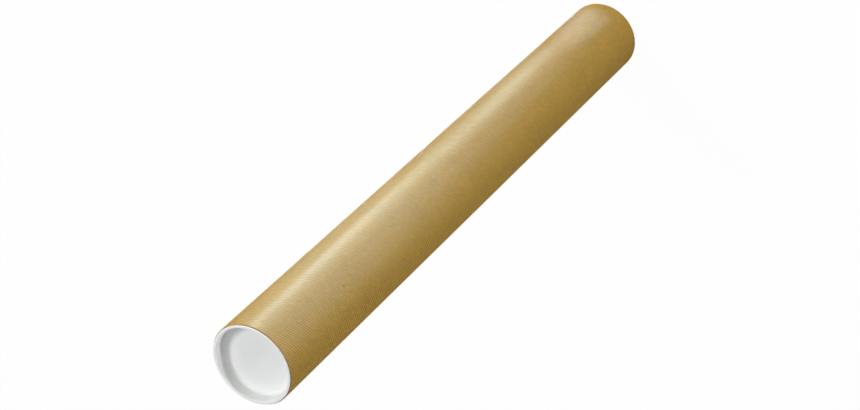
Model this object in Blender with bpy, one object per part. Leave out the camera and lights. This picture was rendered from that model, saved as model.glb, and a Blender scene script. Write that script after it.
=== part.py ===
"""A cardboard mailing tube, standing on one end.

A spirally wound cardboard tube is closed at both ends by the same moulded plastic plug: a shallow
cup with a flange that laps over the cut end of the tube. The plugs go in with a push and pull
straight out again.

Metres, +Z up along the tube's axis. The origin is the centre of the foot plug's face, which the
tube stands on.
"""

import math

import bmesh
import bpy
from mathutils import Vector

# Tube: a catalogue size, given by its bore, its wall and its cut length
tube_bore = 0.080
tube_wall = 0.002
tube_length = 0.750
cut_edge_round = 0.0004

# Plug: flange and cup
flange_lap = 0.001
flange_thickness = 0.0012
flange_edge_round = 0.0004
plug_wall = 0.001
recess_depth = 0.012
mouth_lip_round = 0.0008
floor_fillet = 0.0035
cup_taper = 0.0005
flange_root_fillet = 0.0003

# Plug: two low rings round the cup, which grip the paper of the bore
ring_height = 0.0004
ring_width = 0.0016
ring_count = 2

# Plug: the gate mark in the middle of the floor
gate_radius = 0.0022
gate_depth = 0.00015
gate_slope = 0.0006

# Clearances
bore_clearance = 0.0003
seat_clearance = 0.0003

# Facets: round pieces have this many sides, and a rounded corner this many steps
round_sides = 72
large_round_steps = 4
small_round_steps = 2
weld_distance = 0.000001
smooth_angle = math.radians(32.0)

# Finishes: colours as linear red, green and blue, and roughness
kraft_brown = (0.455, 0.270, 0.055, 1.0)
kraft_roughness = 0.55
plug_white = (0.780, 0.790, 0.780, 1.0)
plug_roughness = 0.35

# Sizes worked out from the ones above
bore_radius = tube_bore / 2
tube_radius = bore_radius + tube_wall
flange_radius = bore_radius + flange_lap
ring_radius = bore_radius - bore_clearance
cup_top_radius = ring_radius - ring_height
cup_foot_radius = cup_top_radius - cup_taper
mouth_radius = cup_top_radius - plug_wall
floor_radius = cup_foot_radius - plug_wall
cup_depth = recess_depth + plug_wall
tube_foot_z = flange_thickness + seat_clearance
tube_head_z = tube_foot_z + tube_length
head_face_z = tube_head_z + seat_clearance + flange_thickness


def clear_scene():
    for old in list(bpy.data.objects):
        bpy.data.objects.remove(old)


def plain_material(name, colour, roughness):
    material = bpy.data.materials.new(name)
    material.use_nodes = True
    shader = material.node_tree.nodes["Principled BSDF"]
    shader.inputs["Base Color"].default_value = colour
    shader.inputs["Metallic"].default_value = 0.0
    shader.inputs["Roughness"].default_value = roughness
    return material


def rounded(corners):
    """The outline through (radius, height, rounding, steps) corners, each rounding drawn as an arc."""
    outline = []
    for i, (r, z, rounding, steps) in enumerate(corners):
        if rounding == 0:
            outline.append((r, z))
            continue
        corner = Vector((r, z))
        to_before = (Vector(corners[i - 1][:2]) - corner).normalized()
        to_after = (Vector(corners[(i + 1) % len(corners)][:2]) - corner).normalized()
        half_angle = to_before.angle(to_after) / 2
        centre = corner + (to_before + to_after).normalized() * (rounding / math.sin(half_angle))
        start = corner + to_before * (rounding / math.tan(half_angle)) - centre
        end = corner + to_after * (rounding / math.tan(half_angle)) - centre
        start_angle = math.atan2(start.y, start.x)
        sweep = (math.atan2(end.y, end.x) - start_angle + math.pi) % math.tau - math.pi
        for step in range(steps + 1):
            angle = start_angle + sweep * step / steps
            outline.append((centre.x + rounding * math.cos(angle), centre.y + rounding * math.sin(angle)))
    return outline


def turned(name, outline, closed, material):
    """A body turned round Z from an outline of (radius, height) points."""
    mesh = bpy.data.meshes.new(name)
    bm = bmesh.new()
    points = [bm.verts.new((r, 0, z)) for r, z in outline]
    edges = [bm.edges.new(pair) for pair in zip(points, points[1:])]
    if closed:
        edges.append(bm.edges.new((points[-1], points[0])))
    bmesh.ops.spin(bm, geom=points + edges, cent=(0, 0, 0), axis=(0, 0, 1),
                   angle=math.tau, steps=round_sides, use_merge=True)
    bmesh.ops.remove_doubles(bm, verts=bm.verts, dist=weld_distance)
    bmesh.ops.recalc_face_normals(bm, faces=bm.faces)
    bm.to_mesh(mesh)
    bm.free()
    mesh.shade_smooth()
    mesh.set_sharp_from_angle(angle=smooth_angle)
    mesh.materials.append(material)
    body = bpy.data.objects.new(name, mesh)
    bpy.context.collection.objects.link(body)
    return body


def make_tube(material):
    """The wound tube, turned as a ring with its cut edges a little rounded."""
    corners = [
        (bore_radius, tube_foot_z, cut_edge_round, small_round_steps),
        (tube_radius, tube_foot_z, cut_edge_round, small_round_steps),
        (tube_radius, tube_head_z, cut_edge_round, small_round_steps),
        (bore_radius, tube_head_z, cut_edge_round, small_round_steps),
    ]
    return turned("tube", rounded(corners), True, material)


def cup_radius_at(depth):
    """The cup's outer radius, which tapers from the flange to its floor."""
    return cup_top_radius - cup_taper * depth / cup_depth


def grip_rings():
    """The corners of the rings, spread evenly down the straight part of the cup's outer wall."""
    corners = []
    straight_wall = cup_depth - flange_thickness - floor_fillet - plug_wall
    ring_pitch = straight_wall / ring_count
    for i in range(ring_count):
        middle = flange_thickness + ring_pitch * i + ring_pitch / 2
        top, bottom = middle - ring_width / 2, middle + ring_width / 2
        corners.append((cup_radius_at(top), -top, 0, 0))
        corners.append((cup_radius_at(middle) + ring_height, -middle, 0, 0))
        corners.append((cup_radius_at(bottom), -bottom, 0, 0))
    return corners


def plug_outline():
    """Half the plug's section, from the middle of its recess round the flange and under its floor.

    Heights are measured from the flange's outer face, and go down into the tube.
    """
    gate_floor = -recess_depth - gate_depth
    corners = [
        (0, gate_floor, 0, 0),
        (gate_radius, gate_floor, 0, 0),
        (gate_radius + gate_slope, -recess_depth, 0, 0),
        (floor_radius, -recess_depth, floor_fillet, large_round_steps),
        (mouth_radius, 0, mouth_lip_round, small_round_steps),
        (flange_radius, 0, flange_edge_round, small_round_steps),
        (flange_radius, -flange_thickness, flange_edge_round, small_round_steps),
        (cup_top_radius, -flange_thickness, flange_root_fillet, small_round_steps),
        *grip_rings(),
        (cup_foot_radius, -cup_depth, floor_fillet + plug_wall, large_round_steps),
        (0, -cup_depth, 0, 0),
    ]
    return rounded(corners)


def make_plugs(material):
    """The same moulding in both ends: the head plug as turned, the foot plug upside down."""
    head = turned("head_plug", plug_outline(), False, material)
    head.location.z = head_face_z
    foot = bpy.data.objects.new("foot_plug", head.data)
    bpy.context.collection.objects.link(foot)
    foot.rotation_euler.x = math.pi
    return head, foot


clear_scene()
make_tube(plain_material("kraft_card", kraft_brown, kraft_roughness))
make_plugs(plain_material("white_plastic", plug_white, plug_roughness))
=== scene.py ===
# %% [markdown]
# A cardboard mailing tube, dressed.
#
# The real object is three pieces: a long tube wound from strips of paper, and a white plastic plug
# pressed into each end. This file gives those pieces their finish: the fine ribs and the fibres of
# the brown paper, the plies at its cut ends, and the soft sheen of the plastic. Every length is in
# metres, and the tube stands on its foot plug with its axis on Z.
#
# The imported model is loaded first. It says where each piece is, and everything below is built to it.

# %% The frame
import math

import bpy
import bmesh
import numpy as np
from mathutils import Matrix, Vector


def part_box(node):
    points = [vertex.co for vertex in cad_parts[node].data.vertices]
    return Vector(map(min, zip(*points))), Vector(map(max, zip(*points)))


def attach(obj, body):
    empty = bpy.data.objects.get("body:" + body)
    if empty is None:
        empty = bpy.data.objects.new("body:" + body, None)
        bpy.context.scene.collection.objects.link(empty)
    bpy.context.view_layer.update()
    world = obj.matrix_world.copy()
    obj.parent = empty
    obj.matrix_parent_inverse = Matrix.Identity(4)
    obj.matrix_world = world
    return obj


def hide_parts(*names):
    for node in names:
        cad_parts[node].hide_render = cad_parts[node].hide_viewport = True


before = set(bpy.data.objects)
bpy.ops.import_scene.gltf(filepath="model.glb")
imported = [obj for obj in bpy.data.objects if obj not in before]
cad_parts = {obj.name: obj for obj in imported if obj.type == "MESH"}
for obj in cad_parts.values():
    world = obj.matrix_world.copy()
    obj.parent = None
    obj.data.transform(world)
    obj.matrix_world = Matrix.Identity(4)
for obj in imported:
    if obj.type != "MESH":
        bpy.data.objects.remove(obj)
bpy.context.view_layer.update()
tube_low, tube_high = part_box("tube")
plug_low, plug_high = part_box("head_plug")
tube_radius = tube_high.x
flange_radius = plug_high.x
head_face = plug_high.z
print(f"tube: radius {tube_radius:.4f}, from {tube_low.z:.4f} to {tube_high.z:.4f}, face at {head_face:.4f}")

# %% [markdown]
# The photograph looks along the tube from above its near end, through a long lens, and the tube
# runs across the picture from corner to corner. Here the tube stands upright, so the camera looks
# down on its head and is rolled over until the tube lies across the frame in the same way.
#
# A camera is easiest to read as an aim point, a distance back from it, and three angles. Their
# rotations are multiplied in the order in which a photographer would make them: turn, tip, roll.

# %% Camera
aim_point = Vector((-0.0051, 0.0, 0.4290))
camera_distance = 2.0167
turned_left = math.radians(0.22)
looking_down = math.radians(48.40)
rolled_over = math.radians(133.27)
lens_length = 82.98

camera_data = bpy.data.cameras.new("camera")
camera_data.lens = lens_length
camera = bpy.data.objects.new("camera", camera_data)
camera.matrix_world = (
    Matrix.Translation(aim_point)
    @ Matrix.Rotation(turned_left, 4, "Z")
    @ Matrix.Rotation(math.pi / 2 - looking_down, 4, "X")
    @ Matrix.Rotation(-rolled_over, 4, "Z")
    @ Matrix.Translation((0, 0, camera_distance))
)
bpy.context.collection.objects.link(camera)
bpy.context.scene.camera = camera
print("camera at", [round(value, 3) for value in camera.matrix_world.translation])

# %% [markdown]
# Shader maths reads best as plain sums. The class below wraps one output of a shader node, and each
# operator adds the Math node that does it. The reflected forms let a number stand on the left, as in
# 1 - mask. Colours never go through these operators, because a Math node would turn them grey: they
# go through Mix and Vector Math, which come from the same method as every other node.
#
# A few short functions follow for what the finishes share: noise about zero, a soft step, a colour
# between two others, and a material whose constants sit on the shader's own sockets.

# %% Sums on sockets
class Wire:
    """An output of a shader node, which can be added, subtracted, multiplied and divided."""

    def __init__(self, tree, socket=None):
        self.tree = tree
        self.socket = socket

    def node(self, kind, settings, inputs, output=0):
        """Any node: its type, its settings, then the value or the wire for each of its sockets."""
        made = self.tree.nodes.new(kind)
        for name, value in settings.items():
            setattr(made, name, value)
        for key, value in inputs.items():
            if isinstance(value, Wire):
                self.tree.links.new(value.socket, made.inputs[key])
            else:
                made.inputs[key].default_value = value
        return Wire(self.tree, made.outputs[output])

    def math(self, operation, *values):
        return self.node("ShaderNodeMath", {"operation": operation}, dict(enumerate(values)))

    def __add__(self, other):
        return self.math("ADD", self, other)

    def __radd__(self, other):
        return self.math("ADD", other, self)

    def __sub__(self, other):
        return self.math("SUBTRACT", self, other)

    def __rsub__(self, other):
        return self.math("SUBTRACT", other, self)

    def __mul__(self, other):
        return self.math("MULTIPLY", self, other)

    def __truediv__(self, other):
        return self.math("DIVIDE", self, other)


def new_finish(name, constants):
    """A material, its Principled shader with these constants on its own sockets, and a first wire."""
    material = bpy.data.materials.new(name)
    material.use_nodes = True
    shader = material.node_tree.nodes["Principled BSDF"]
    for socket, value in constants.items():
        shader.inputs[socket].default_value = value
    return material, shader, Wire(material.node_tree)


def connect(shader, socket, wire):
    wire.tree.links.new(wire.socket, shader.inputs[socket])


def blended(wire, factor, first, second):
    """A colour between two colours, or wires, as the factor goes from 0 to 1."""
    # A Mix node numbers its sockets: for colours the two inputs are 6 and 7, and the output is 2
    return wire.node("ShaderNodeMix", {"data_type": "RGBA"}, {0: factor, 6: first, 7: second}, 2)


def scaled(wire, colour, share):
    """A colour made darker or lighter by a wire."""
    return wire.node("ShaderNodeVectorMath", {"operation": "SCALE"}, {0: colour, "Scale": share})


def noise(wire, place, scale, detail, roughness=0.5):
    """Noise about zero, from -0.5 to 0.5."""
    inputs = {"Vector": place, "Scale": scale, "Detail": detail, "Roughness": roughness}
    return wire.node("ShaderNodeTexNoise", {}, inputs) - 0.5


def ramped(wire, value, low, high):
    """0 below low, 1 above high, and smooth between them."""
    settings = {"interpolation_type": "SMOOTHSTEP"}
    return wire.node("ShaderNodeMapRange", settings, {"Value": value, "From Min": low, "From Max": high})


print("shader sums ready")

# %% [markdown]
# The tube is wound from a strip of paper that climbs like a screw thread. Its ribs and the joint
# between one turn and the next all follow that thread. Rather than work out a spiral for each of
# them, we untwist the tube: turn every point back by as much as the strip has turned at its
# height. The ribs then stand upright, and a plain cosine of the angle round the tube draws them.
#
# The mesh and the material both use this, so the two agree to the last rib.

# %% The winding
ply_lead = 0.1184
ribs_across_ply = 41
rib_depth = 0.00020
joint_height_at_front = 0.6448
joint_width = 0.0004
joint_depth = 0.00008
turn_per_metre = math.tau / ply_lead
front = -math.pi / 2
joint_angle = front - joint_height_at_front * turn_per_metre
rib_pitch_round = math.tau * tube_radius / ribs_across_ply
climb = ply_lead / (math.tau * tube_radius)
rib_pitch = rib_pitch_round * math.sin(math.atan(climb))
print(f"the ply climbs {math.degrees(math.atan(climb)):.1f} degrees, ribs {rib_pitch * 1000:.2f} mm apart")

# %% [markdown]
# The outer outline, cut straight across, is a circle with one shallow wave for each rib and a
# narrow notch where the strip's edges meet. Four points to a wave are enough once the shading is
# smooth, and the notch has points of its own.
#
# Moved up the axis while it turns with the winding, this one outline makes the whole ribbed face.
# The alternative, a bump map on a plain cylinder, would look right from the front and wrong at
# the edges and in the glints, where the real ribs catch the light.

# %% Outline of the ribbed face
points_to_a_rib = 4


def outline_angles():
    """The angles, from the joint round to the joint, at which the outline has a point."""
    count = ribs_across_ply * points_to_a_rib
    waves = [math.tau * i / count for i in range(1, count)]
    half_joint = joint_width / 2 / (tube_radius * math.sin(math.atan(climb)))
    notch = [-half_joint, 0.0, half_joint]
    return np.array(notch + waves)


def wave_depth(angles):
    """How far below the crests the untwisted surface lies at these angles from the joint."""
    ribs = rib_depth * (1 - np.cos(ribs_across_ply * angles)) / 2
    return np.where(angles == 0, joint_depth, ribs)


ring_angles = outline_angles()
ring_depths = wave_depth(ring_angles)
print(len(ring_angles), "points round the outline")

# %% [markdown]
# The cut ends show the wall's plies as fine rings. Each is a strip of board a few tenths of a
# millimetre thick, and the saw leaves its edge slightly proud of the glue line beside it. The
# section of the end is drawn once, from the bore out to the face, and used for both ends.

# %% Section of a cut end
wall = 0.002
bore_radius = tube_radius - wall
edge_round = 0.0004
edge_steps = 4
ply_count = 5
glue_line_width = 0.00008
glue_line_depth = 0.00005


def end_section():
    """Radius and depth below the cut, from the bore wall to the outer face."""
    angles = [math.pi / 2 * i / edge_steps for i in range(edge_steps + 1)]
    inner = [(bore_radius + edge_round * (1 - math.cos(a)), edge_round * (1 - math.sin(a))) for a in angles]
    outer = [(tube_radius - (r - bore_radius), depth) for r, depth in reversed(inner)]
    plies = []
    flat = wall - 2 * edge_round
    for i in range(1, ply_count):
        middle = bore_radius + edge_round + flat * i / ply_count
        plies += [(middle - glue_line_width, 0), (middle, glue_line_depth), (middle + glue_line_width, 0)]
    return inner + plies + outer


cut_section = end_section()
print(len(cut_section), "rings across each cut end")

# %% [markdown]
# Now the tube itself. A list of rings starts in the bore at the foot, goes out across the cut, up the
# ribbed face and back in across the head, and the last strip of faces runs down the bore to where it
# began. The result is one closed skin, so it has a real wall thickness from any side.
#
# Each ring has the same number of points, so neighbours join point to point. Only the bore, whose
# two ends have turned by different amounts, needs its points paired with a shift.

# %% Tube mesh
rings_to_a_turn = 80
face_low = tube_low.z + edge_round
face_high = tube_high.z - edge_round
face_rings = round((face_high - face_low) / ply_lead * rings_to_a_turn)
paper_slot, cut_slot, bore_slot = 0, 1, 2
tube_sharp_angle = math.radians(50)


def ring_at(radius, height, wave, twist_height):
    """One ring of points; wave is the share of the ribs' depth that it has."""
    angles = ring_angles + joint_angle + twist_height * turn_per_metre
    radii = radius - wave * ring_depths
    heights = np.full_like(angles, height)
    return np.stack([radii * np.cos(angles), radii * np.sin(angles), heights], 1)


def tube_rings():
    """All rings, from the bore's edge at the foot, round the outside, to its edge at the head."""
    rings = []
    for radius, depth in cut_section[:-1]:
        wave = (radius - bore_radius) / wall
        rings.append(ring_at(radius, tube_low.z + depth, wave, face_low))
    for i in range(face_rings + 1):
        height = face_low + (face_high - face_low) * i / face_rings
        rings.append(ring_at(tube_radius, height, 1, height))
    for radius, depth in reversed(cut_section[:-1]):
        wave = (radius - bore_radius) / wall
        rings.append(ring_at(radius, tube_high.z - depth, wave, face_high))
    return np.array(rings)


def strip_faces(lower, upper, count, shift=0):
    """The faces between two rings, given the number of each ring."""
    first = np.arange(count)
    second = (first + 1) % count
    a = lower * count
    b = upper * count
    return np.stack([a + first, a + second, b + (second + shift) % count, b + (first + shift) % count], 1)


def tube_mesh():
    rings = tube_rings()
    strips, count = rings.shape[:2]
    last = strips - 1
    turned = (face_high - face_low) * turn_per_metre
    shift = round(turned / math.tau * count) % count
    faces = [strip_faces(i, i + 1, count) for i in range(last)]
    faces.append(strip_faces(last, 0, count, shift))
    mesh = bpy.data.meshes.new("ribbed_tube")
    mesh.from_pydata(rings.reshape(-1, 3).tolist(), [], np.concatenate(faces).tolist())
    strip = np.repeat(np.arange(strips), count)
    end_rings = len(cut_section) - 1
    on_cut = (strip < end_rings) | (strip >= last - end_rings)
    slots = np.where(strip == last, bore_slot, np.where(on_cut, cut_slot, paper_slot))
    mesh.polygons.foreach_set("material_index", slots.astype(np.int32))
    mesh.shade_smooth()
    mesh.set_sharp_from_angle(angle=tube_sharp_angle)
    return mesh


ribbed_tube = bpy.data.objects.new("ribbed_tube", tube_mesh())
bpy.context.collection.objects.link(ribbed_tube)
print("tube triangles", 2 * len(ribbed_tube.data.polygons))

# %% [markdown]
# Ribbed kraft is brown paper glazed on one side by a hot drum, which leaves it with a soft sheen, and
# pressed into fine ribs. Close up it isn't one brown: fibres run with the ribs, the pulp is cloudy,
# each turn of the ply shades a little from edge to edge, and there are a few dark specks. The crests
# of the ribs are also painted lighter and their troughs darker, as painted shade on top of the relief.
#
# The colour is one kraft brown, made lighter and darker by the sum of these. The ribs, the fibres and
# the ply read the untwisted place, so that they follow the winding.
#
# The sheen is a coat with a high index of refraction and a low weight. Such a coat brightens little
# towards the edges of the tube, where a plain one would mirror the lamps as white lines.

# %% Kraft finish
kraft_brown = (0.410, 0.250, 0.050, 1.0)
speck_brown = (0.120, 0.070, 0.030, 1.0)
# Each speck: the angle round the tube in degrees, the height, the radius, and how dark it is.
# The core is the share of the radius that is dark all through, before the speck fades out.
specks = (
    (-96.8, 0.6403, 0.0013, 0.95),
    (-83.7, 0.6241, 0.0009, 0.50),
    (-149.6, 0.5371, 0.0010, 0.50),
    (-148.8, 0.5819, 0.0010, 0.50),
    (-37.4, 0.1013, 0.0012, 0.60),
)
speck_core = 0.4
fibre_scale = 750.0
fibre_stretch = 0.60
cloud_scale = 60.0
paper_grain_scale = 2500.0
# Painted shade: the colour is darkened in the troughs between the ribs and lightened on their crests, beyond
# what the relief shades by itself.
rib_painted_shade = 0.17
ply_shade = 0.02
fibre_shade = 1.00
cloud_shade = 0.12
paper_roughness = 0.44
fibre_roughness = 0.20
paper_coat = {"Coat Weight": 0.027, "Coat Roughness": 0.37, "Coat IOR": 3.0}
paper_bump = {"Strength": 0.25, "Distance": 0.00005}


def speck_mask(start, place):
    """How much of each point of the paper is speck, from 0 to 1."""
    mask = 0.0
    for around, height, radius, darkness in specks:
        turn = math.radians(around)
        centre = (tube_radius * math.cos(turn), tube_radius * math.sin(turn), height)
        away = start.node("ShaderNodeVectorMath", {"operation": "DISTANCE"}, {0: place, 1: centre}, "Value")
        mask = (1.0 - ramped(start, away, radius * speck_core, radius)) * darkness + mask
    return mask


def kraft_finish():
    constants = {"Metallic": 0.0, "Specular IOR Level": 0.0, **paper_coat}
    material, shader, start = new_finish("ribbed_kraft", constants)
    place = start.node("ShaderNodeTexCoord", {}, {}, "Object")
    height = start.node("ShaderNodeSeparateXYZ", {}, {0: place}, "Z")
    untwist = {"Vector": place, "Angle": height * -turn_per_metre - joint_angle}
    straight = start.node("ShaderNodeVectorRotate", {"rotation_type": "Z_AXIS"}, untwist)
    sideways = start.node("ShaderNodeSeparateXYZ", {}, {0: straight}, "X")
    forwards = start.node("ShaderNodeSeparateXYZ", {}, {0: straight}, "Y")
    angle = start.math("ARCTAN2", forwards, sideways)
    rib = start.math("COSINE", angle * ribs_across_ply)
    across_ply = start.math("FRACT", angle / math.tau + 1.0)
    stretched = start.node("ShaderNodeVectorMath", {"operation": "MULTIPLY"},
                           {0: straight, 1: (1.0, 1.0, fibre_stretch)})
    fibres = noise(start, stretched, fibre_scale, detail=2.0, roughness=0.6)
    clouds = noise(start, place, cloud_scale, detail=4.0)
    # The rib term is painted shade in the troughs and painted light on the crests. The ply, fibre and cloud
    # terms are the paper's own tone.
    shade = 1.0 + rib * rib_painted_shade + (across_ply - 0.5) * ply_shade
    shade = shade + fibres * fibre_shade + clouds * cloud_shade
    paper = scaled(start, kraft_brown[:3], shade)
    connect(shader, "Base Color", blended(start, speck_mask(start, place), paper, speck_brown))
    connect(shader, "Roughness", paper_roughness + fibres * fibre_roughness)
    grain = noise(start, place, paper_grain_scale, detail=2.0)
    connect(shader, "Normal", start.node("ShaderNodeBump", {}, {**paper_bump, "Height": fibres + grain}))
    return material


kraft = kraft_finish()
print("kraft finish:", len(kraft.node_tree.nodes), "nodes")

# %% [markdown]
# Behind the face paper the wall is plain board, duller and greyer than the face. It shows at the two
# cut ends, and down the bore when a plug is pulled. The same finish serves both, with a coarser grain
# for the bore, which isn't cut.

# %% Board finish
cut_brown = (0.400, 0.260, 0.100, 1.0)
bore_brown = (0.380, 0.270, 0.150, 1.0)
cut_grain_scale = 1800.0
bore_grain_scale = 700.0
grains_to_a_cloud = 12
board_grain_shade = 0.35
board_cloud_shade = 0.15
board_roughness = 0.85
board_grain_roughness = 0.1
board_bump = {"Strength": 0.5, "Distance": 0.0001}


def board_finish(name, brown, grain_scale):
    material, shader, start = new_finish(name, {"Specular IOR Level": 0.15, "Metallic": 0.0})
    place = start.node("ShaderNodeTexCoord", {}, {}, "Object")
    grain = noise(start, place, grain_scale, detail=4.0, roughness=0.65)
    clouds = noise(start, place, grain_scale / grains_to_a_cloud, detail=3.0)
    shade = 1.0 + grain * board_grain_shade + clouds * board_cloud_shade
    connect(shader, "Base Color", scaled(start, brown[:3], shade))
    connect(shader, "Roughness", board_roughness + grain * board_grain_roughness)
    connect(shader, "Normal", start.node("ShaderNodeBump", {}, {**board_bump, "Height": grain}))
    return material


cut_board = board_finish("cut_board", cut_brown, cut_grain_scale)
bore_board = board_finish("bore_board", bore_brown, bore_grain_scale)
# The order of the finishes is that of the slots: paper, cut, bore
for finish in (kraft, cut_board, bore_board):
    ribbed_tube.data.materials.append(finish)
print("board finishes ready")

# %% [markdown]
# Each plug is one moulding: a flange that laps over the cut end, a shallow cup, and a flat floor with
# the small mark that the gate leaves. Two low rings round the outside of the cup grip the bore. Like
# any round moulding it is drawn as half its section. One function rounds the corners of the section,
# by putting an arc in place of a sharp point.

# %% Plug section
plug_wall = 0.001
recess_depth = 0.012
seat_clearance = 0.0003
flange_thickness = tube_low.z - seat_clearance
flange_edge_round = 0.0004
mouth_lip_round = 0.0008
floor_fillet = 0.0035
cup_taper = 0.0005
root_fillet = 0.0003
grip_height = 0.0004
grip_width = 0.0016
grip_count = 2
gate_radius = 0.0022
gate_depth = 0.00015
gate_slope = 0.0006
bore_clearance = 0.0003
cup_depth = plug_high.z - plug_low.z
cup_top_radius = bore_radius - bore_clearance - grip_height
cup_foot_radius = cup_top_radius - cup_taper
large_steps = 10
small_steps = 5


def rounded(corners):
    """The outline through (radius, height, rounding, steps) corners, each rounding drawn as an arc."""
    outline = []
    for i, (r, z, rounding, steps) in enumerate(corners):
        if rounding == 0:
            outline.append((r, z))
            continue
        corner = Vector((r, z))
        to_before = (Vector(corners[i - 1][:2]) - corner).normalized()
        to_after = (Vector(corners[(i + 1) % len(corners)][:2]) - corner).normalized()
        half_angle = to_before.angle(to_after) / 2
        centre = corner + (to_before + to_after).normalized() * (rounding / math.sin(half_angle))
        start = corner + to_before * (rounding / math.tan(half_angle)) - centre
        end = corner + to_after * (rounding / math.tan(half_angle)) - centre
        start_angle = math.atan2(start.y, start.x)
        sweep = (math.atan2(end.y, end.x) - start_angle + math.pi) % math.tau - math.pi
        for step in range(steps + 1):
            angle = start_angle + sweep * step / steps
            outline.append((centre.x + rounding * math.cos(angle), centre.y + rounding * math.sin(angle)))
    return outline


def grip_rings():
    """The low rings round the cup that grip the bore."""
    corners = []
    straight_wall = cup_depth - flange_thickness - floor_fillet - plug_wall
    for i in range(grip_count):
        middle = flange_thickness + straight_wall * (i + 0.5) / grip_count
        for depth, height in (
            (middle - grip_width / 2, 0),
            (middle, grip_height),
            (middle + grip_width / 2, 0),
        ):
            corners.append((cup_top_radius - cup_taper * depth / cup_depth + height, -depth, 0, 0))
    return corners


def plug_outline():
    """Half the section, from the middle of the recess round the flange and under the floor."""
    gate_floor = -recess_depth - gate_depth
    corners = [
        (0, gate_floor, 0, 0),
        (gate_radius, gate_floor, 0, 0),
        (gate_radius + gate_slope, -recess_depth, 0, 0),
        (cup_foot_radius - plug_wall, -recess_depth, floor_fillet, large_steps),
        (cup_top_radius - plug_wall, 0, mouth_lip_round, small_steps),
        (flange_radius, 0, flange_edge_round, small_steps),
        (flange_radius, -flange_thickness, flange_edge_round, small_steps),
        (cup_top_radius, -flange_thickness, root_fillet, small_steps),
        *grip_rings(),
        (cup_foot_radius, -cup_depth, floor_fillet + plug_wall, large_steps),
        (0, -cup_depth, 0, 0),
    ]
    return rounded(corners)


print(len(plug_outline()), "points in the plug's section")

# %% [markdown]
# Spun round the axis, the section becomes the plug. The spin leaves its points doubled on the axis
# itself, so those are welded. Both ends take the same mesh: as it is at the head, and turned over
# at the foot.

# %% Plug meshes
spin_steps = 192
weld_distance = 0.000001
plug_sharp_angle = math.radians(25)


def plug_mesh():
    mesh = bpy.data.meshes.new("white_plug")
    bm = bmesh.new()
    points = [bm.verts.new((r, 0, z)) for r, z in plug_outline()]
    edges = [bm.edges.new(pair) for pair in zip(points, points[1:])]
    bmesh.ops.spin(bm, geom=points + edges, cent=(0, 0, 0), axis=(0, 0, 1),
                   angle=math.tau, steps=spin_steps, use_merge=True)
    bmesh.ops.remove_doubles(bm, verts=bm.verts, dist=weld_distance)
    bmesh.ops.recalc_face_normals(bm, faces=bm.faces)
    bm.to_mesh(mesh)
    bm.free()
    mesh.shade_smooth()
    mesh.set_sharp_from_angle(angle=plug_sharp_angle)
    return mesh


head_plug = bpy.data.objects.new("white_head_plug", plug_mesh())
head_plug.location.z = head_face
foot_plug = bpy.data.objects.new("white_foot_plug", head_plug.data)
foot_plug.rotation_euler.x = math.pi
for plug in (head_plug, foot_plug):
    bpy.context.collection.objects.link(plug)
print("plug triangles", sum(len(face.vertices) - 2 for face in head_plug.data.polygons))

# %% [markdown]
# The plugs are soft white polyethylene: a cool white, slightly waxy, with light that wanders some way
# under the skin, which keeps the shadows in the recess from going hard. Subsurface scattering over
# a few millimetres gives that. The skin has a weak, broad sheen, and a faint unevenness breaks it up.

# %% Plastic finish
plug_white = (0.864, 0.877, 0.858, 1.0)
flow_scale = 45.0
skin_grain_scale = 1500.0
flow_shade = 0.03
skin_roughness = 0.52
flow_roughness = 0.10
skin_grain_roughness = 0.06
skin_bump = {"Strength": 0.15, "Distance": 0.00005}


def plastic_finish():
    constants = {
        "Metallic": 0.0,
        "Specular IOR Level": 0.08,
        "Subsurface Weight": 0.45,
        "Subsurface Radius": (1.0, 1.0, 0.9),
        "Subsurface Scale": 0.0035,
    }
    material, shader, start = new_finish("white_plastic", constants)
    place = start.node("ShaderNodeTexCoord", {}, {}, "Object")
    flow = noise(start, place, flow_scale, detail=2.0)
    grain = noise(start, place, skin_grain_scale, detail=2.0)
    connect(shader, "Base Color", scaled(start, plug_white[:3], 1.0 + flow * flow_shade))
    connect(shader, "Roughness", skin_roughness + flow * flow_roughness + grain * skin_grain_roughness)
    connect(shader, "Normal", start.node("ShaderNodeBump", {}, {**skin_bump, "Height": grain + flow}))
    return material


head_plug.data.materials.append(plastic_finish())
print("plastic finish ready")

# %% [markdown]
# Each piece rides on the body that moves it, so that a plug that is pulled takes its dressing with
# it, and stands for the plain solid in the imported model.

# %% Bodies
for piece, body, slot in (
    (ribbed_tube, "tube", "ribbed_kraft"),
    (head_plug, "head_plug", "white_plastic"),
    (foot_plug, "foot_plug", "white_plastic"),
):
    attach(piece, body)
    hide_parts(body)
    print(piece.name, "rides on", body)

# %% [markdown]
# The tube stands on a plain pale floor. For a white picture the floor shows white to the camera and
# to reflections, where a strength of 1 is white, and one part in forty stays an ordinary lit surface,
# so that the shadow of the tube is still there, if faint. It sends no more light onto the object than
# any pale floor would. The world above the horizon works in the same way.

# %% Stage
floor_size = 12.0
floor_grey = (0.85, 0.85, 0.85, 1.0)
white_share = 0.975
ambient_strength = 0.05
white = (1.0, 1.0, 1.0, 1.0)


def seen_directly(wire):
    """1 for rays from the camera, a mirror or a glass, and 0 for the rest."""
    camera_ray = wire.node("ShaderNodeLightPath", {}, {}, "Is Camera Ray")
    glossy_ray = wire.node("ShaderNodeLightPath", {}, {}, "Is Glossy Ray")
    transmission_ray = wire.node("ShaderNodeLightPath", {}, {}, "Is Transmission Ray")
    either = wire.math("MAXIMUM", camera_ray, glossy_ray)
    return wire.math("MAXIMUM", either, transmission_ray)


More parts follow.
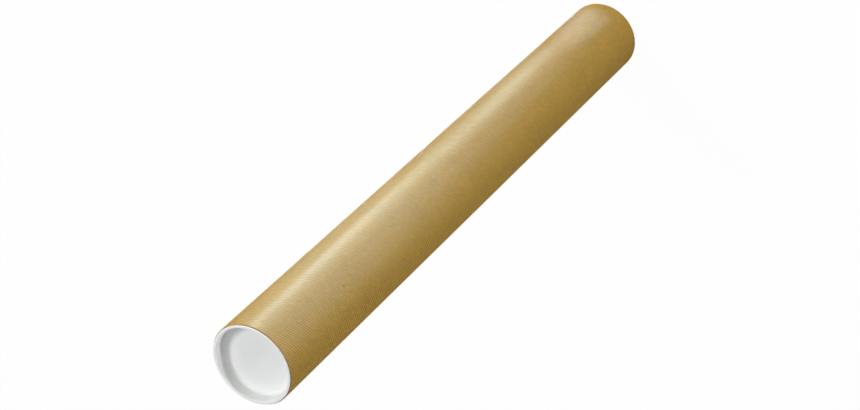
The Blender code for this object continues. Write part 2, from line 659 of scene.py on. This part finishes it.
def floor_finish():
    material = bpy.data.materials.new("pale_floor")
    material.use_nodes = True
    tree = material.node_tree
    tree.nodes.remove(tree.nodes["Principled BSDF"])
    start = Wire(tree)
    lit = start.node("ShaderNodeBsdfDiffuse", {}, {"Color": floor_grey})
    shown = start.node("ShaderNodeEmission", {}, {"Color": white, "Strength": 1.0})
    share = seen_directly(start) * white_share
    mixed = start.node("ShaderNodeMixShader", {}, {0: share, 1: lit, 2: shown})
    tree.links.new(mixed.socket, tree.nodes["Material Output"].inputs["Surface"])
    return material


def white_world():
    world = bpy.data.worlds.new("white_world")
    world.use_nodes = True
    tree = world.node_tree
    start = Wire(tree)
    strength = ambient_strength + seen_directly(start) * (1.0 - ambient_strength)
    tree.links.new(strength.socket, tree.nodes["Background"].inputs["Strength"])
    tree.nodes["Background"].inputs["Color"].default_value = white
    bpy.context.scene.world = world


bpy.ops.mesh.primitive_plane_add(size=floor_size)
floor = bpy.context.object
floor.name = "pale_floor"
floor.data.materials.append(floor_finish())
white_world()
print("floor and world ready")

# %% [markdown]
# Four soft lamps stand round the tube, and each one answers to something in the photograph. The left
# of the picture is the tube's +X side. A high lamp on that side lights the head and leaves a crescent
# of shadow inside the cup, and a second one, higher and in front, fills the cup and lights the paper
# that faces the camera. A low one lights the paper on the left, and a thin strip behind lights only
# the tube's right edge and the wall of the cup.
#
# All lamps are placed in the same way: by the angle round the tube, the distance from its axis, the
# height, and the way they face.

# %% Lamps
def soft_lamp(name, around, distance, height, facing, tall, wide, power):
    """A rectangular lamp. It faces down at 0 degrees, the tube's axis at 90 and up at 180."""
    light = bpy.data.lights.new(name, "AREA")
    light.shape = "RECTANGLE"
    light.size = tall
    light.size_y = wide
    light.energy = power
    lamp = bpy.data.objects.new(name, light)
    lamp.matrix_world = (
        Matrix.Rotation(math.radians(around), 4, "Z")
        @ Matrix.Translation((distance, 0, height))
        @ Matrix.Rotation(math.radians(facing), 4, "Y")
    )
    bpy.context.collection.objects.link(lamp)
    return lamp


high_lamp_reach = 3.0
high_lamp_size = 1.0


def high_lamp(name, around, elevation, power):
    """A lamp that faces the middle of the head from this elevation."""
    distance = high_lamp_reach * math.cos(math.radians(elevation))
    height = head_face + high_lamp_reach * math.sin(math.radians(elevation))
    return soft_lamp(name, around, distance, height, 90 - elevation, high_lamp_size, high_lamp_size, power)


high_lamp("high", around=3, elevation=52, power=58.5)
high_lamp("high_front", around=-91, elevation=66, power=28.5)
soft_lamp("left", around=-50, distance=2.5, height=0.44, facing=90, tall=0.7, wide=0.7, power=32.5)
soft_lamp("behind", around=-164, distance=2.5, height=0.967, facing=84, tall=0.085, wide=0.5, power=21.0)
print("lamps round the tube ready")

# %% [markdown]
# Glazed paper also mirrors what lies beside it. Seen from above, an upright tube mirrors the floor
# round its foot, so the long streak of sheen is made by panels that lie on the floor, facing up. A
# point near the head mirrors the floor far out, and a point near the foot mirrors it close in. The
# panels therefore lie in four rings, one for each part of the tube's height, and each panel of a ring
# answers for one side of the tube. A last narrow one makes the bright core of the streak.
#
# The panels are there for reflections only. Multiple importance sampling is off for them, so that
# none of their light reaches the diffuse shading, and the camera doesn't see them.

# %% Floor panels
panel_height = 0.004
facing_up = 180
sheen_tint = (0.78, 1.0, 1.0)


def floor_panel(name, around, start, end, wide, power):
    """A panel on the floor from start to end, which only the gloss of the finishes mirrors."""
    panel = soft_lamp(name, around, (start + end) / 2, panel_height, facing_up, end - start, wide, power)
    panel.data.color = sheen_tint
    panel.data.cycles.use_multiple_importance_sampling = False
    panel.visible_diffuse = False
    panel.visible_camera = False


panel_turns = (-135, -110, -80, -50, -20, 0, 25, 50)
# For each ring: where it starts, where it ends, how wide a panel is, and the power at each turn
panel_rings = (
    (0.052, 0.17, 0.06, (0.0, 0.0, 0.05, 0.38, 0.66, 0.12, 0.28, 0.10)),
    (0.18, 0.38, 0.12, (0.0, 0.0, 0.67, 1.40, 4.60, 1.80, 1.30, 1.20)),
    (0.36, 0.56, 0.20, (0.0, 0.0, 0.87, 0.77, 1.75, 1.60, 2.00, 1.60)),
    (0.56, 0.96, 0.30, (3.3, 11.5, 18.0, 22.5, 47.0, 7.40, 11.5, 6.00)),
)
for ring, (start, end, wide, powers) in enumerate(panel_rings):
    for around, power in zip(panel_turns, powers):
        if power > 0:
            floor_panel(f"panel_{ring}_{around}", around, start, end, wide, power)
floor_panel("streak", around=-15, start=0.70, end=0.98, wide=0.10, power=14.0)

# %% [markdown]
# The picture is shown as it is computed, with no film look on top.

# %% Finish
bpy.context.scene.view_settings.view_transform = "Standard"
